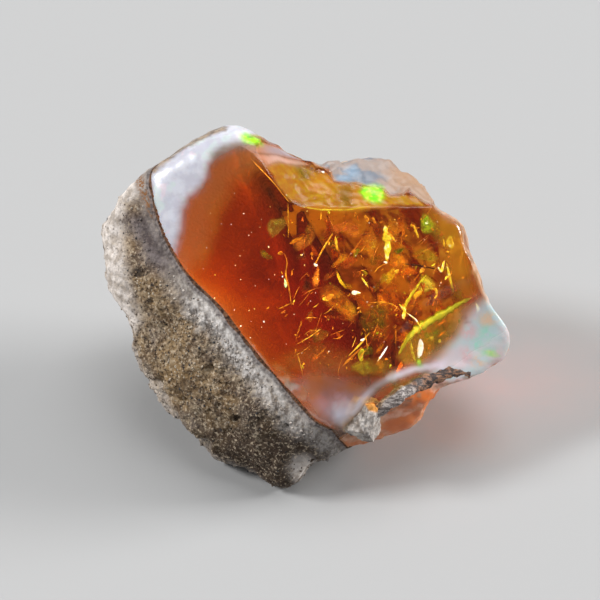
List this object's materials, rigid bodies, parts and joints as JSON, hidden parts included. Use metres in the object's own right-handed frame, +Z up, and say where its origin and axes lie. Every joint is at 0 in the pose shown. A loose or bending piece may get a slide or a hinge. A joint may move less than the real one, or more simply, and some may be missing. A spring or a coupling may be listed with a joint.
{
  "type": "rough opal",
  "caption": "Rough precious opal: clear orange opal with a milky end and a thin lip, broken open across the front, in a bowl of pale pitted volcanic rock; lies on a flat base.",
  "frame": {"origin": "on the surface that the stone rests on, under the middle of its bounding box", "axes": "+X to the right across the broken face and along the stone's length, +Y to the back, +Z up; the broken face looks towards -Y and +Z"},
  "size_m": [0.0456, 0.0327, 0.0331],
  "materials": {
    "opal": "clear orange precious opal, glassy on its breaks, milky white at one end, frosted on its skin",
    "host_rock": "dry gritty volcanic rock, tan to grey, pitted, smoother and paler along the opal"
  },
  "bodies": {
    "root": {"opal": "opal", "host_rock": "host_rock"}
  },
  "joints": []
}
